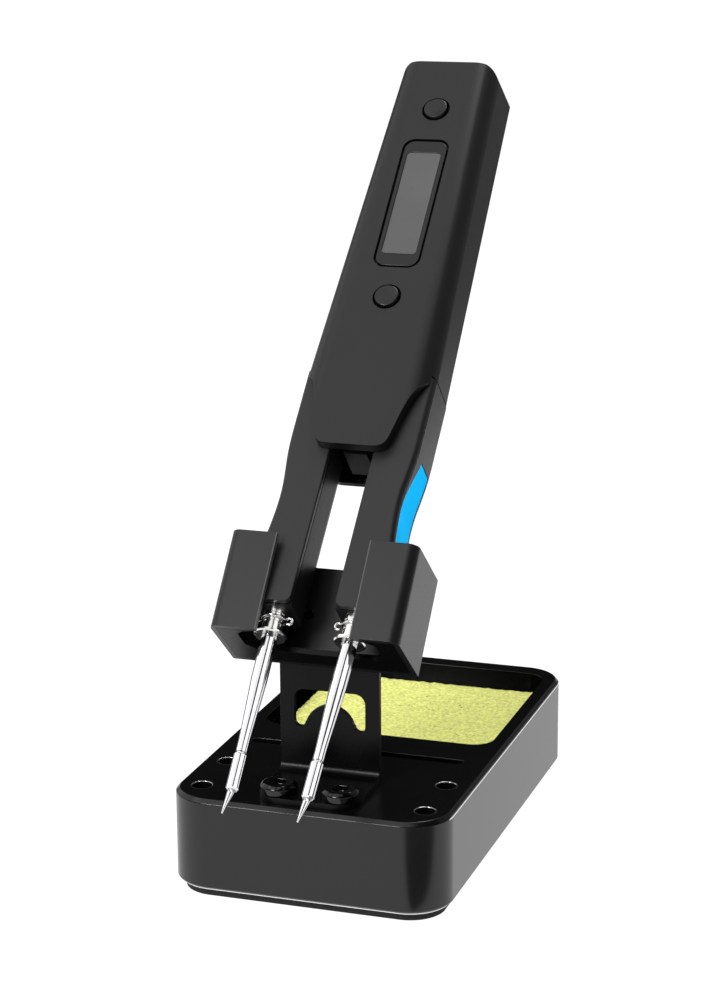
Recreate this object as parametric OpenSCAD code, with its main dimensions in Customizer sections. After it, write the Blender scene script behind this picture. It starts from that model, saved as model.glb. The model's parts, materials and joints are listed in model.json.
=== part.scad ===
// Soldering tweezers standing in the channel of their desk stand.
// Millimetres, +Z up. The origin is the middle of the stand's underside; -Y is the side the tips point to.
// The tweezers are drawn flat in their own frame: x across, y along the tips towards the tail, z out of
// the display side, with the origin on the tips' plane at the collar flanges.

/* [Stand base] */
// Width of the base
base_w = 70; // [64:1:84]
// Depth of the base, front to back
base_d = 121.2; // [112:1:140]
// Height of the base wall
base_h = 23.4; // [20:0.2:30]
// Radius of the base's upright corners
base_corner_r = 10.8; // [7:0.2:12]
// Bevel along the base's top and bottom edges
base_bevel = 1; // [0.5:0.1:1.5]
// Height of the rubber foot under the base
foot_h = 2; // [1:0.1:4]
// How far the foot stands back from the wall
foot_inset = 2; // [1.5:0.1:4]
// Width of the sponge tray
tray_w = 61.5; // [50:0.5:62]
// Depth of the sponge tray, front to back
tray_d = 58.9; // [45:0.5:60]
// Depth of the tray below the deck
tray_depth = 15; // [12:0.5:17]
// Corner radius of the tray
tray_r = 5.5; // [4:0.5:7]
// Wall left behind the tray
tray_back = 6.1; // [4:0.1:8]
// Height of the sponge
sponge_h = 10.1; // [7:0.1:11]
// Gap between the sponge and the tray's walls
sponge_gap = 0.4; // [0.3:0.1:0.8]
// Diameter of the tip storage holes
tip_hole_d = 5; // [4.5:0.1:6]
// Hole centres in from the base's sides
tip_hole_side = 6.6; // [5:0.1:7]
// First hole centres back from the base's front
tip_hole_front = 9.4; // [7:0.1:12]
// Distance between the holes of one side
tip_hole_pitch = 17.3; // [10:0.1:22]
// Length of the card slot
slot_l = 56; // [40:1:58]
// Width of the card slot
slot_w = 3; // [2:0.1:4]
// Depth of the card slot
slot_depth = 6; // [3:0.5:10]
// Slot centre back from the base's front
slot_front = 43.1; // [38:0.1:46]

/* [Bracket] */
// Thickness of the bracket's sheet
sheet_t = 1.5; // [1:0.1:2]
// Width of the bracket
bracket_w = 25.5; // [22:0.5:30]
// Front face of the upright, back from the base's front
upright_front = 22.6; // [20:0.1:26]
// Front edge of the bracket's foot, back from the base's front
bracket_toe = 2.6; // [2:0.1:5]
// Inside radius of the sheet's bends
bend_r = 2.2; // [1.5:0.1:3]
// Length of the tab behind the holder
tab_l = 13; // [10:0.5:16]
// Half width of the crescent cut-out
crescent_half = 9.1; // [7:0.1:10]
// Top of the crescent above the deck
crescent_top = 22.4; // [20:0.1:24]
// Bottom of the crescent's lobes above the deck
crescent_low = 12.8; // [11:0.1:14]
// Top of the crescent's inner arc above the deck
crescent_mid = 18.8; // [17:0.1:19.4]
// Radius of the crescent's inner arc
crescent_r = 6.3; // [5:0.1:6.5]
// Diameter of the bracket screw heads
bracket_head_d = 9; // [7:0.1:10]
// Height of the bracket screw heads
bracket_head_h = 2.5; // [1.5:0.1:3.5]
// Diameter of the bracket screw shanks
bracket_shank_d = 4; // [3:0.5:5]
// Length of the bracket screws in the base
bracket_shank_l = 10; // [6:1:14]
// Distance between the bracket screws
bracket_screw_pitch = 15.6; // [13:0.1:16]
// Bracket screws back from the base's front
bracket_screw_front = 7.6; // [7.2:0.1:9]

/* [Holder] */
// Width of the holder channel
holder_w = 47.1; // [44:0.1:52]
// Length of the holder channel
holder_l = 25.2; // [22:0.1:30]
// How far the channel reaches below the arms' ends
holder_below = 8.7; // [8:0.1:10]
// Thickness of the holder's sheet
holder_t = 1.4; // [1:0.1:1.8]
// Clear width between the two front lips
lip_gap = 23.3; // [21:0.1:27]
// Radius of the holder's front bends
holder_bend_r = 2.6; // [2:0.1:4]
// Inside radius of the holder's front bends
holder_inner_r = 0.3; // [0.2:0.1:0.5]
// Half width of the floor's cut-out
notch_half = 17.3; // [15.5:0.1:19]
// Back edge of the floor's cut-out, from the lips' front
notch_back = 13; // [11.5:0.1:15]
// How much steeper the holder stands than the tweezers lean
holder_tilt = 5; // [3:0.5:6]
// Gap between the docked tweezers and the channel
dock_clear = 0.6; // [0.4:0.05:0.7]
// Diameter of the holder screw heads
holder_head_d = 5; // [4:0.1:6]
// Height of the holder screw heads
holder_head_h = 1.6; // [1:0.1:2]
// Diameter of the holder screw shanks
holder_shank_d = 2.5; // [2:0.1:3]
// Distance between the holder screws
holder_screw_pitch = 13; // [10:0.5:16]

/* [Tweezers stance] */
// Angle of the docked tweezers above level
lean = 45; // [42:1:48]
// Collar flanges back from the base's front
dock_front = 9.1; // [7:0.1:11]
// Collar flanges above the deck
dock_rise = 39.94; // [37:0.1:44]

/* [Handle] */
// Where the handle ends and the arms begin
split_at = 72.2; // [70:0.1:74]
// Where the tail ends
tail_at = 168.5; // [166:0.5:180]
// Half width of the handle at the split
split_half = 16.6; // [16:0.1:18]
// Half width of the handle at the tail
tail_half = 13.2; // [12.5:0.1:14.5]
// Front face above the tips' plane
front_z = 8.2; // [8:0.1:9]
// Back face below the tips' plane at the split
back_split = 10.5; // [10:0.1:11.5]
// Back face below the tips' plane at the tail
back_tail = 13.4; // [12.5:0.1:15]
// Radius of the handle's front edges
front_edge_r = 6; // [5:0.1:6.5]
// Radius of the handle's back edges
back_edge_r = 3; // [2.5:0.1:4]
// Radius of the tail's corners, seen from the front
tail_corner_r = 4; // [3:0.1:5]
// Wall of the handle's two shells
shell_wall = 2; // [1.6:0.1:2.2]
// Parting line above the tips' plane at the split
part_split = 3.2; // [2.6:0.1:3.4]
// Parting line below the tips' plane at the tail
part_tail = 3.2; // [2.5:0.1:4]
// Where the cover's tongue ends
tongue_at = 49.4; // [48:0.1:52]
// Half width of the tongue near its end
tongue_half = 9.9; // [9:0.1:11]
// Corner radius of the tongue
tongue_r = 3.2; // [2:0.1:4]
// Gap between the arms and the tongues in front of and behind them
tongue_gap = 0.3; // [0.2:0.05:0.5]
// Thickness of the tongue behind the arms
back_tongue_t = 1.5; // [1.2:0.1:1.8]
// Half width of the spine that carries that tongue
spine_half = 6.5; // [5:0.1:6.8]

/* [Display and keys] */
// Width of the display window
window_w = 11.3; // [10:0.1:12]
// Length of the display window
window_l = 39.6; // [36:0.1:42]
// Middle of the display window
window_at = 122.4; // [121.5:0.1:123.5]
// Corner radius of the display window
window_r = 2.6; // [1.5:0.1:3]
// Gap round the display window
window_gap = 0.6; // [0.3:0.05:0.7]
// Thickness of the display window
window_t = 1.6; // [1.2:0.1:1.8]
// Width of the screen
panel_w = 9.4; // [8:0.1:9.6]
// Length of the screen
panel_l = 32.2; // [28:0.1:33]
// Diameter of the keys
key_d = 6.2; // [5.5:0.1:6.6]
// Gap round a key
key_gap = 0.6; // [0.3:0.05:0.7]
// How far a key stands out of the cover
key_out = 0.7; // [0.4:0.1:1]
// How far a key travels
key_travel = 0.5; // [0.3:0.1:0.6]
// Upper key in from the tail
upper_key_in = 15.8; // [14.5:0.1:18.5]
// Place of the lower key
lower_key_at = 93; // [91.5:0.1:94.5]

/* [Arms] */
// Where the arms end
arm_end = 7; // [6.6:0.1:8]
// Front face of the arms above the tips' plane
arm_front = 5; // [4.8:0.1:5.1]
// Back face of the arms below the tips' plane
arm_back = 10.5; // [10:0.1:11]
// Inner face of an arm from the middle
arm_inner = 5.5; // [5.2:0.1:5.8]
// Outer half width at the finger neck
neck_half = 15.35; // [15:0.05:16]
// Place of the finger neck
neck_at = 35; // [33:0.5:37]
// Outer half width at the arms' ends
flare_half = 18; // [17:0.1:19]
// Thickness of the arms' front plates
plate_t = 1.9; // [1.5:0.1:2.1]
// Seam between the front plate and the rear half
plate_seam = 0.4; // [0.2:0.05:0.5]
// Corner radius of the front plates' lower ends
plate_corner_r = 1.6; // [1:0.1:2.4]
// Gap between the arms and the handle
split_gap = 0.4; // [0.3:0.05:0.6]
// Thickness of the finger grips
grip_t = 1.4; // [1:0.1:1.8]
// Upper end of the finger grips
grip_top = 50.5; // [48:0.1:52]
// Lower end of the finger grips
grip_low = 13; // [12:0.5:15]
// Hinge pins up from the split
pivot_rise = 7.8; // [7.2:0.1:8.6]
// Hinge pins from the middle
pivot_half = 9; // [8.8:0.1:9.2]
// Diameter of the hinge pins
pin_d = 3; // [2.5:0.1:3.4]
// Radial running gap on the hinge pins
pin_gap = 0.05; // [0.02:0.01:0.08]
// Radius of the arms' hinge lugs
lug_r = 4.4; // [4:0.1:4.6]

/* [Springs] */
// Half width of the spring block at its lower end
block_half = 3; // [2.6:0.1:3.2]
// Outside diameter of the return springs
spring_d = 4; // [3.4:0.1:4.4]
// Wire of the return springs
spring_wire = 0.5; // [0.4:0.05:0.6]
// Place of the return springs
spring_at = 57; // [55:0.5:60]

/* [Tips] */
// Tips from the middle at the flanges
tip_half = 10; // [9.8:0.1:10.4]
// Angle by which the tips lean inwards
tip_toe = 1.1; // [0.8:0.1:1.3]
// Length of a tip below its flange
tip_l = 45.6; // [42:0.1:50]
// Length of the point's cone
tip_cone_l = 5.3; // [4:0.1:8]
// Width of the cone where it meets the sleeve
tip_neck_d = 1.9; // [1.6:0.1:2.2]
// Length of the tip's sleeve
tip_sleeve_l = 9.1; // [8:0.1:12]
// Diameter of the tip's sleeve
tip_sleeve_d = 3.1; // [2.8:0.1:3.2]
// Diameter of the tip's waist above the sleeve
tip_waist_d = 2.6; // [2.3:0.1:2.7]
// Length of the tip's waist
tip_waist_l = 3.4; // [2:0.1:5]
// Length of the taper from the waist to the shaft
tip_taper_l = 16; // [10:0.5:18]
// Diameter of the tip's shaft
tip_shaft_d = 4; // [3.6:0.1:4]
// Length of shaft held in the arm
tip_inside = 30; // [26:1:34]
// Running gap round the shaft
tip_gap = 0.1; // [0.08:0.01:0.12]
// Diameter of the collar flanges
flange_d = 8; // [7:0.1:8.4]
// Thickness of the collar flanges
flange_t = 0.9; // [0.7:0.1:1.2]
// Diameter of the collars
collar_d = 5; // [4.8:0.1:5.2]
// Diameter of the socket sleeves in the arms
socket_d = 5.4; // [5.2:0.1:5.6]

/* [Hidden] */
$fn = 64;
big = 400;
deck_z = foot_h + base_h;
front_y = -base_d / 2;
dock_y = front_y + dock_front;
dock_z = deck_z + dock_rise;
holder_lean = lean + holder_tilt;
holder_top = holder_l - holder_below;
channel_d = (arm_front + arm_back + 2 * dock_clear + holder_top * sin(holder_tilt)) / cos(holder_tilt);
tray_y = base_d / 2 - tray_back - tray_d / 2;
upright_y = front_y + upright_front;
screw_slack = 0.1;
floor_fit = 0.05;

// The holder's back plate and the bracket's upper bend, in y and z
holder_along = [cos(holder_lean), sin(holder_lean)];
holder_out = [-sin(holder_lean), cos(holder_lean)];
lip_point = [dock_y + arm_end * cos(lean) - (arm_front + dock_clear) * sin(lean),
    dock_z + arm_end * sin(lean) + (arm_front + dock_clear) * cos(lean)];
plate_point = lip_point - holder_out * (channel_d + holder_t);
bend_out_r = bend_r + sheet_t;
top_bend_y = upright_y + bend_out_r;
top_bend = [top_bend_y, (holder_out * plate_point - bend_out_r - holder_out[0] * top_bend_y) / holder_out[1]];
holder_screw_up = (top_bend - lip_point) * holder_along + tab_l / 2;

// Fits of the handle
taper = atan((split_half - tail_half) / (tail_at - split_at));
back_slope = atan((back_tail - back_split) / (tail_at - split_at));
part_slope = atan((part_split + part_tail) / (tail_at - split_at));
tongue_under = arm_front + tongue_gap;
back_tongue_low = -arm_back - tongue_gap - back_tongue_t;
spine_low = split_at + split_gap;
spine_end = split_at - (back_tongue_low + back_split) / tan(back_slope);
spine_sunk = 0.1;
pivot_at = split_at + pivot_rise;
upper_key_at = tail_at - upper_key_in;
lug_top = part_split - 0.4;
lug_low = -arm_back + 5;
lug_slack = 0.3;
boss_r = pin_d / 2 + 1.6;
board_top = 3.2;
board_t = 1.6;
board_half = 7.4;
board_low = lower_key_at - 5;
board_high = tail_at - shell_wall - 0.4;
shell_screw_d = 2.4;
shell_screw_head_d = 4.6;
shell_screw_head_h = 1.8;
shell_post_r = 2.6;
post_gap = 0.4;
shell_hole_top = front_z - shell_wall - 1.2;
shell_screw_top = shell_hole_top - 0.4;
low_screw_half = pivot_half + 0.6;
low_screw_rise = 22;
tail_screw_half = 7.6;
tail_screw_in = 6;
shell_screw_spots = [[low_screw_half, pivot_at + low_screw_rise], [tail_screw_half, tail_at - tail_screw_in]];
socket_port_w = 8.9;
socket_port_h = 3.2;
socket_port_l = 7.4;
port_r = socket_port_h / 2;
port_wall = 0.4;
port_z = board_top - board_t - socket_port_h / 2 - port_wall;
key_rim = 1.2;
key_flange_t = 0.8;
switch_w = 6;
switch_h = 0.8;
plunger_d = 3;
plunger_h = 0.4;

// Pulls of the arms' outer curve, from the flare past the neck to the shoulder
flare_pull = 7;
neck_slope = 0.1;
neck_pull_low = 9;
neck_pull_high = 7;
shoulder_rise = 19;
shoulder_pull = 9;

// Root of the hinge lugs in the arms, and the flat of their inner side
lug_root = 6;
lug_flat = 0.9;
socket_fit = 0.05;
spring_gap = 0.3;

// Outline of the grips on the arms' sides
grip_edge = 0.5;
grip_drop = 3.4;
grip_bend = 1.6;
grip_heel = 2.6;

// Edges of the arms
plate_edge_r = 1.3;
plate_inner_r = 0.5;
arm_inner_r = 5;
arm_outer_r = 2.4;
hair_r = 0.02;
min_edge = 0.2;

// Fits of the arms
plate_low = arm_front - plate_t;
socket_l = tip_inside + 3;
tip_bore_r = tip_shaft_d / 2 + tip_gap;
block_top_z = 1.8;
block_low_z = -8;
block_high = split_at + 4;
block_at = tongue_at + 1;
block_wide = block_half + 0.8;
spring_z = -3;
spring_seat = 1.2;

// Rounded rectangle about the origin
module rounded_rect(w, d, r) {
    square([w - 2 * r, d], center = true);
    square([w, d - 2 * r], center = true);
    for (sx = [-1, 1], sy = [-1, 1])
        translate([sx * (w / 2 - r), sy * (d / 2 - r)]) circle(r);
}

// Rounded block with bevelled top and bottom edges, standing on z = 0
module bevelled_block(w, d, h, r, b) {
    function edge(half) = [[0, 0], [half - b, 0], [half, b], [half, h - b], [half - b, h], [0, h]];
    for (sx = [-1, 1], sy = [-1, 1])
        translate([sx * (w / 2 - r), sy * (d / 2 - r), 0]) rotate_extrude() polygon(edge(r));
    for (m = [0, 1]) {
        mirror([m, 0, 0]) translate([0, d / 2 - r, 0]) rotate([90, 0, 0])
            linear_extrude(d - 2 * r) polygon(edge(w / 2));
        mirror([0, m, 0]) translate([-w / 2 + r, 0, 0]) rotate([90, 0, 90])
            linear_extrude(w - 2 * r) polygon(edge(d / 2));
    }
}

// Places its children in the docked tweezers' own frame
module tool() {
    translate([0, dock_y, dock_z]) rotate([lean, 0, 0]) children();
}

// Places its children in the holder's frame: z = 0 is the lips' inner face, y runs up the channel
module holder_place() {
    tool() translate([0, arm_end, arm_front + dock_clear]) rotate([holder_tilt, 0, 0]) children();
}

// Turns a profile drawn in x and z into a prism that starts at y0 and is l long
module along_y(y0, l) {
    translate([0, y0 + l, 0]) rotate([90, 0, 0]) linear_extrude(l) children();
}

// Turns a profile drawn in y and z into a prism centred on x
module across_x(w) {
    rotate([90, 0, 90]) translate([0, 0, -w / 2]) linear_extrude(w) children();
}

// Solid of revolution about +Y
module turned(profile) {
    rotate([-90, 0, 0]) rotate_extrude() polygon(profile);
}

// Point on a cubic curve
function curve_at(p, t) = p[0] * pow(1 - t, 3) + p[1] * 3 * t * pow(1 - t, 2)
    + p[2] * 3 * t * t * (1 - t) + p[3] * pow(t, 3);
function curve(p, n) = [for (i = [0:n]) curve_at(p, i / n)];

// Closed solid through rings of points that all have the same count, the rings going up along y
module loft(rings) {
    n = len(rings[0]);
    last = len(rings) - 1;
    points = [for (ring = rings) for (p = ring) p];
    sides = [for (i = [0:last - 1], j = [0:n - 1], half = [0, 1])
        let (a = i * n + j, b = i * n + (j + 1) % n, c = b + n, d = a + n)
        half == 0 ? [a, b, c] : [a, c, d]];
    caps = [[for (j = [n - 1:-1:0]) j], [for (j = [0:n - 1]) last * n + j]];
    polyhedron(points, concat(sides, caps));
}

module base_shell() {
    color([0.2, 0.2, 0.21]) difference() {
        translate([0, 0, foot_h]) bevelled_block(base_w, base_d, base_h, base_corner_r, base_bevel);
        translate([0, tray_y, deck_z - tray_depth])
            linear_extrude(tray_depth + 1) rounded_rect(tray_w, tray_d, tray_r);
        for (sx = [-1, 1], k = [0, 1])
            translate([sx * (base_w / 2 - tip_hole_side), front_y + tip_hole_front + k * tip_hole_pitch, 0])
                cylinder(d = tip_hole_d, h = deck_z + 1);
        translate([0, front_y + slot_front, deck_z - slot_depth])
            linear_extrude(slot_depth + 1) rounded_rect(slot_l, slot_w, slot_w / 2 - 0.01);
        bracket_screw_spots(deck_z - bracket_shank_l - 1)
            cylinder(d = bracket_shank_d + 2 * screw_slack, h = bracket_shank_l + 2);
    }
}

module base_foot() {
    color([0.05, 0.05, 0.05]) linear_extrude(foot_h)
        rounded_rect(base_w - 2 * foot_inset, base_d - 2 * foot_inset, base_corner_r - foot_inset);
}

module sponge() {
    color([0.87, 0.88, 0.48]) translate([0, tray_y, deck_z - tray_depth]) linear_extrude(sponge_h)
        rounded_rect(tray_w - 2 * sponge_gap, tray_d - 2 * sponge_gap, tray_r - sponge_gap);
}

// Repeats its children at the bracket screws, at height z
module bracket_screw_spots(z) {
    for (sx = [-1, 1])
        translate([sx * bracket_screw_pitch / 2, front_y + bracket_screw_front, z]) children();
}

// Part of a sheet bend between two angles, outside radius r
module bend_sector(r, from, to) {
    difference() {
        circle(r);
        circle(r - sheet_t);
        rotate(to) translate([-big, 0]) square([2 * big, big]);
        rotate(from) translate([-big, -big]) square([2 * big, big]);
    }
}

// Side view of the bracket, in y and z
module bracket_profile() {
    low_bend_z = deck_z + bend_out_r;
    toe_y = front_y + bracket_toe;
    translate([toe_y, deck_z]) square([upright_y - bend_r - toe_y, sheet_t]);
    translate([upright_y - bend_r, low_bend_z]) bend_sector(bend_out_r, -90, 0);
    translate([upright_y, low_bend_z]) square([sheet_t, top_bend[1] - low_bend_z]);
    translate(top_bend) {
        bend_sector(bend_out_r, 90 + holder_lean, 180);
        rotate(holder_lean) translate([0, bend_r]) square([tab_l, sheet_t]);
    }
}

// Crescent cut-out in the upright, in x and z from the deck
module crescent() {
    lobe_r = (crescent_half - crescent_r) / 2;
    top_r = 2.6;
    difference() {
        union() {
            translate([-crescent_half, crescent_low + lobe_r])
                square([2 * crescent_half, crescent_top - crescent_low - lobe_r - top_r]);
            translate([-crescent_half + top_r, crescent_top - 2 * top_r])
                square([2 * (crescent_half - top_r), 2 * top_r]);
            for (sx = [-1, 1]) {
                translate([sx * (crescent_half - top_r), crescent_top - top_r]) circle(top_r);
                translate([sx * (crescent_half - lobe_r), crescent_low + lobe_r]) circle(lobe_r);
            }
        }
        translate([0, crescent_mid - crescent_r]) circle(crescent_r);
    }
}

module bracket() {
    toe_r = 6;
    color([0.1, 0.1, 0.1]) difference() {
        across_x(bracket_w) bracket_profile();
        translate([0, 0, deck_z]) along_y(upright_y - 1, sheet_t + 2) crescent();
        bracket_screw_spots(deck_z - 1) cylinder(d = bracket_shank_d + 4 * screw_slack, h = sheet_t + 2);
        holder_screw_spots() cylinder(d = holder_shank_d + 4 * screw_slack, h = big, center = true);
        for (m = [0, 1]) mirror([m, 0, 0])
            translate([bracket_w / 2 - toe_r, front_y + bracket_toe + toe_r, deck_z - 1]) difference() {
                translate([0, -toe_r - 1, 0]) cube([toe_r + 1, toe_r + 1, sheet_t + 2]);
                translate([0, 0, -1]) cylinder(r = toe_r, h = sheet_t + 4);
            }
    }
}

module bracket_screws() {
    rim = 0.8;
    hex_d = 4;
    hex_in = 1.4;
    low = -sheet_t - bracket_shank_l;
    color([0.08, 0.08, 0.08]) bracket_screw_spots(deck_z + sheet_t) difference() {
        rotate_extrude() polygon([[0, low], [bracket_shank_d / 2, low], [bracket_shank_d / 2, 0],
            [bracket_head_d / 2, 0], [bracket_head_d / 2, bracket_head_h - rim],
            [bracket_head_d / 2 - rim, bracket_head_h], [0, bracket_head_h]]);
        translate([0, 0, bracket_head_h - hex_in]) cylinder(d = hex_d, h = 2 * hex_in, $fn = 6);
    }
}

// Cross-section of the holder's channel, in x and z
module channel_outline(grow, r) {
    half = holder_w / 2 - grow;
    top = holder_t - grow;
    low = -channel_d - holder_t + grow;
    translate([-half, low]) square([2 * half, top - r - low]);
    translate([-half + r, low]) square([2 * (half - r), top - low]);
    for (sx = [-1, 1]) translate([sx * (half - r), top - r]) circle(r);
}

// Half of the floor's cut-out, in x and z
function notch_side() = [[lip_gap / 2, 0], [notch_half - 1.8, -0.8], [notch_half, holder_t - 4.2],
    [notch_half, holder_t - notch_back + 2.6], [notch_half - 2.3, holder_t - notch_back]];

module holder() {
    color([0.12, 0.12, 0.12]) holder_place() difference() {
        along_y(-holder_below, holder_l) difference() {
            channel_outline(0, holder_bend_r);
            channel_outline(holder_t, holder_inner_r);
            translate([-lip_gap / 2, -holder_t]) square([lip_gap, 3 * holder_t]);
        }
        holder_screw_holes();
    }
}

// Plate that closes the channel's lower end, with a cut-out for the tips
module holder_floor() {
    side = notch_side();
    count = len(side);
    color([0.12, 0.12, 0.12]) holder_place() along_y(-holder_below, holder_t) difference() {
        channel_outline(holder_t + floor_fit, holder_inner_r);
        polygon(concat([[lip_gap / 2, holder_t]], side,
            [for (i = [count - 1:-1:0]) [-side[i][0], side[i][1]]], [[-lip_gap / 2, holder_t]]));
    }
}

// Repeats its children at the holder screws, in the holder's frame, on the channel's inner back face
module holder_screw_rows() {
    for (sx = [-1, 1]) translate([sx * holder_screw_pitch / 2, holder_screw_up, -channel_d]) children();
}

module holder_screw_spots() {
    holder_place() holder_screw_rows() children();
}

module holder_screw_holes() {
    holder_screw_rows() cylinder(d = holder_shank_d + 2 * screw_slack, h = 4 * holder_t, center = true);
}

module holder_screws() {
    stack = holder_t + sheet_t;
    color([0.35, 0.35, 0.36]) holder_place() holder_screw_rows() difference() {
        rotate_extrude() polygon([[0, 0], [holder_shank_d / 2, 0], [holder_shank_d / 2, -stack],
            [holder_head_d / 2, -stack], [holder_head_d / 2, -stack - holder_head_h + 0.5],
            [holder_head_d / 2 - 0.5, -stack - holder_head_h], [0, -stack - holder_head_h]]);
        translate([0, 0, -stack - holder_head_h - 1]) cylinder(d = 2.3, h = 2, $fn = 6);
    }
}

// Edge profile of the handle with its right face on x = 0, in x and z
module edge_profile(front, back, rf, rb) {
    wide = 2 * split_half;
    mid = (front + back) / 2;
    translate([-wide, back]) square([wide - rb, mid - back]);
    translate([-wide, mid]) square([wide - rf, front - mid]);
    translate([-wide, back + rb]) square([wide, front - rf - back - rb]);
    translate([-rb, back + rb]) circle(rb);
    translate([-rf, front - rf]) circle(rf);
}

// Tapered handle form between two places along it, drawn in by inset on every side
module handle_form(from, to, slope, inset) {
    module side() {
        translate([split_half - inset, split_at, 0]) rotate([0, 0, taper]) rotate([-slope, 0, 0])
            along_y(-split_at, 2 * tail_at)
            edge_profile(front_z - inset, -back_split + inset, front_edge_r - inset, back_edge_r - inset);
    }
    intersection() {
        side();
        mirror([1, 0, 0]) side();
        translate([-big / 2, from, -big / 2]) cube([big, to - from, big]);
    }
}

// Half space in front of the parting line between cover and rear shell
module front_of_parting() {
    translate([0, split_at, part_split]) rotate([-part_slope, 0, 0])
        translate([-big / 2, -big / 2, 0]) cube([big, big, big / 2]);
}

// Outline of the cover with its tongue, in x and y
module cover_outline() {
    side = concat(
        curve([[split_half + 1, split_at - 1.2], [tongue_half + 2.9, split_at - 3.4],
            [tongue_half + 1.9, split_at - 9.4], [tongue_half, tongue_at + tongue_r + 1]], 10),
        curve([[tongue_half - 0.2, tongue_at + tongue_r], [tongue_half - 0.6, tongue_at + 1],
            [tongue_half - 1.8, tongue_at], [tongue_half - tongue_r - 1, tongue_at]], 6));
    count = len(side);
    polygon(concat([[split_half + 1, tail_at]], side,
        [for (i = [count - 1:-1:0]) [-side[i][0], side[i][1]]], [[-split_half - 1, tail_at]]));
}

// Repeats its children at the four shell screws, on the tips' plane
module shell_screw_places() {
    for (spot = shell_screw_spots, sx = [-1, 1]) translate([sx * spot[0], spot[1], 0]) children();
}

module key_places() {
    for (at = [upper_key_at, lower_key_at]) translate([0, at, 0]) children();
}

// Cutters that round the tail's corners, and pass its side and end faces by a little
module tail_corners() {
    pass = 0.06;
    mid_y = tail_at - tail_corner_r + pass;
    mid_x = tail_half + (tail_at - mid_y) * tan(taper) - tail_corner_r / cos(taper) + pass;
    for (m = [0, 1]) mirror([m, 0, 0]) translate([mid_x, mid_y, -big / 2]) linear_extrude(big) difference() {
        square(big);
        circle(tail_corner_r);
    }
}

// Tongue behind the arms, and the flat spine that joins it to the back
module back_tongue() {
    side = concat(
        curve([[tongue_half - tongue_r, tongue_at], [tongue_half - tongue_r / 3, tongue_at],
            [tongue_half, tongue_at + tongue_r / 3], [tongue_half, tongue_at + tongue_r]], 6),
        [[tongue_half, split_at - tongue_r], [spine_half, split_at + tongue_r], [spine_half, spine_end]]);
    count = len(side);
    translate([0, 0, back_tongue_low]) linear_extrude(back_tongue_t)
        polygon(concat(side, [for (i = [count - 1:-1:0]) [-side[i][0], side[i][1]]]));
    translate([-spine_half, spine_low, back_tongue_low])
        cube([2 * spine_half, spine_end - spine_low, spine_sunk - back_split - back_tongue_low]);
}

module front_cover() {
    color([0.22, 0.22, 0.22]) tool() difference() {
        union() {
            difference() {
                intersection() {
                    handle_form(tongue_at - 1, tail_at, 0, 0);
                    front_of_parting();
                    linear_extrude(big, center = true) cover_outline();
                }
                intersection() {
                    handle_form(split_at, tail_at - shell_wall, 0, shell_wall);
                    translate([-big / 2, split_at, -big / 2]) cube([big, big, big]);
                }
                translate([-big / 2, 0, -big]) cube([big, split_at, big + tongue_under]);
            }
            for (m = [0, 1]) mirror([m, 0, 0]) translate([pivot_half, pivot_at, lug_top + lug_slack])
                cylinder(r = boss_r, h = front_z - shell_wall - lug_top);
            shell_screw_places() cylinder(r = shell_post_r, h = front_z - shell_wall + 0.2);
        }
        translate([0, window_at, front_z - window_t]) linear_extrude(big)
            rounded_rect(window_w + 2 * window_gap, window_l + 2 * window_gap, window_r + window_gap);
        translate([0, window_at, 0]) linear_extrude(big) rounded_rect(panel_w + 0.6, panel_l + 0.6, 0.8);
        key_places() cylinder(d = key_d + 2 * key_gap, h = big);
        tail_corners();
        for (m = [0, 1]) mirror([m, 0, 0]) translate([pivot_half, pivot_at, 0])
            cylinder(d = pin_d + 2 * screw_slack, h = front_z - shell_wall);
        shell_screw_places() translate([0, 0, -1])
            cylinder(d = shell_screw_d + 2 * screw_slack, h = shell_hole_top + 1);
        translate([0, tail_at, port_z]) along_y(-shell_wall - 1, shell_wall + 2)
            rounded_rect(socket_port_w + 2 * port_wall + 0.4, socket_port_h + 2 * port_wall + 0.4, port_r);
    }
}

module rear_shell() {
    color([0.2, 0.2, 0.2]) tool() difference() {
        union() {
            difference() {
                handle_form(split_at, tail_at, back_slope, 0);
                handle_form(split_at - 1, tail_at - shell_wall, back_slope, shell_wall);
                front_of_parting();
            }
            intersection() {
                handle_form(split_at, tail_at, back_slope, shell_wall / 2);
                union() {
                    for (m = [0, 1]) mirror([m, 0, 0]) translate([pivot_half, pivot_at, -big])
                        cylinder(r = boss_r, h = big + lug_low - lug_slack);
                    shell_screw_places() translate([0, 0, -big]) cylinder(r = shell_post_r, h = big);
                    translate([-block_wide, split_at, -big])
                        cube([2 * block_wide, block_high - split_at, big + block_low_z]);
                }
            }
            back_tongue();
        }
        tail_corners();
        for (m = [0, 1]) mirror([m, 0, 0]) translate([pivot_half, pivot_at, -back_split + 1])
            cylinder(d = pin_d + 2 * screw_slack, h = big);
        shell_screw_places() translate([0, 0, -big / 2]) {
            cylinder(d = shell_screw_d + 4 * screw_slack, h = big);
            cylinder(d = shell_screw_head_d + 4 * screw_slack, h = big / 2 - back_split + shell_screw_head_h);
        }
    }
}

module display_window() {
    color([0.16, 0.16, 0.17]) tool() translate([0, window_at, front_z - window_t])
        linear_extrude(window_t - 0.1) rounded_rect(window_w, window_l, window_r);
}

module display_panel() {
    color([0.33, 0.33, 0.34]) tool() translate([0, window_at, board_top])
        linear_extrude(front_z - window_t - board_top) rounded_rect(panel_w, panel_l, 0.6);
}

module main_board() {
    color([0.1, 0.35, 0.2]) tool() translate([0, 0, board_top - board_t]) linear_extrude(board_t)
        difference() {
            translate([-board_half, board_low]) square([2 * board_half, board_high - board_low]);
            shell_screw_places() circle(r = shell_post_r + post_gap);
        }
}

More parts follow.
